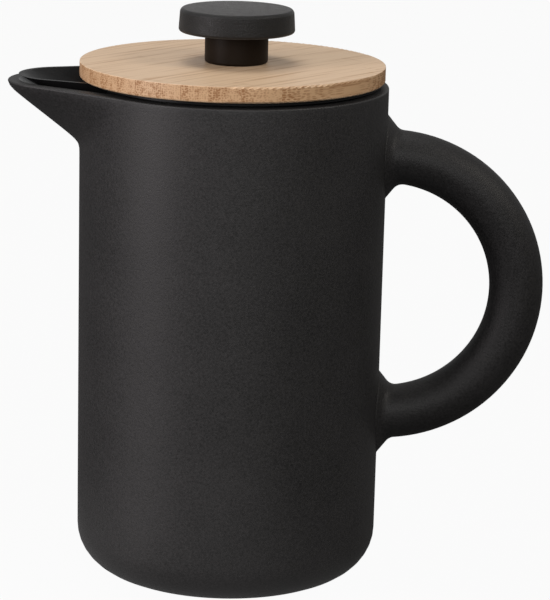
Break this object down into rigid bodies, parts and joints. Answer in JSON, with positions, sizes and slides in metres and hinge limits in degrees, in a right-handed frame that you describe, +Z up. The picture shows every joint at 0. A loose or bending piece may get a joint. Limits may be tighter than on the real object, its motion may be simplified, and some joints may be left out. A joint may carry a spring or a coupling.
{
  "type": "french press",
  "caption": "Stoneware french press: cylindrical jug with a pulled spout and round loop handle, bamboo lid with a pouring trough, and a knobbed plunger with a mesh filter.",
  "frame": {"origin": "middle of the foot ring on the jug's axis, on the surface that the press stands on", "axes": "+Z up along the jug's axis, -X towards the spout, +X towards the handle"},
  "size_m": [0.1841, 0.1046, 0.1958],
  "materials": {
    "stoneware": "unglazed matte black stoneware with a fine grain",
    "bamboo": "laminated bamboo, oiled, fine straight grain",
    "black_plastic": "black moulded plastic, satin",
    "silicone": "black silicone",
    "steel": "stainless steel",
    "mesh_steel": "woven stainless steel wire",
    "guide_plastic": "black moulded plastic",
    "knob_matte": "dark grey with a soft matte skin",
    "knob_smooth": "black, smooth satin",
    "brass": "turned brass"
  },
  "bodies": {
    "jug": {"jug": "stoneware", "handle": "stoneware"},
    "lid": {"lid_disc": "bamboo", "lid_insert": "black_plastic", "lid_seal": "silicone", "lid_screws": "steel"},
    "guide": {"rod_guide": "guide_plastic"},
    "plunger": {"plunger_rod": "steel", "knob_cap": "knob_matte", "knob_stem": "knob_smooth", "knob_thread": "brass", "rod_collar": "steel"},
    "filter_stack": {"spring_plate": "steel", "coil_spring": "steel", "filter_mesh": "mesh_steel"},
    "hub": {"cross_plate": "steel", "hub_nut": "steel"}
  },
  "joints": [
    {"name": "lid_lift", "type": "slide", "parent": "jug", "child": "lid", "axis": [0, 0, 1], "range_m": [0, 0.165]},
    {"name": "plunger_spin", "type": "hinge", "parent": "lid", "child": "guide", "pos_m": [0, 0, 0.1718], "axis": [0, 0, 1], "continuous": true},
    {"name": "plunger_slide", "type": "slide", "parent": "guide", "child": "plunger", "axis": [0, 0, 1], "range_m": [0, 0.118]},
    {"name": "stack_drop", "type": "slide", "parent": "plunger", "child": "filter_stack", "axis": [0, 0, -1], "range_m": [0, 0.006]},
    {"name": "hub_unscrew", "type": "hinge", "parent": "filter_stack", "child": "hub", "pos_m": [0, 0, 0.022], "axis": [0, 0, -1], "range_deg": [0, 2700]}
  ],
  "couplings": [
    {"joint": "stack_drop", "follows": "hub_unscrew", "m_per_rad": 0.00012732}
  ]
}
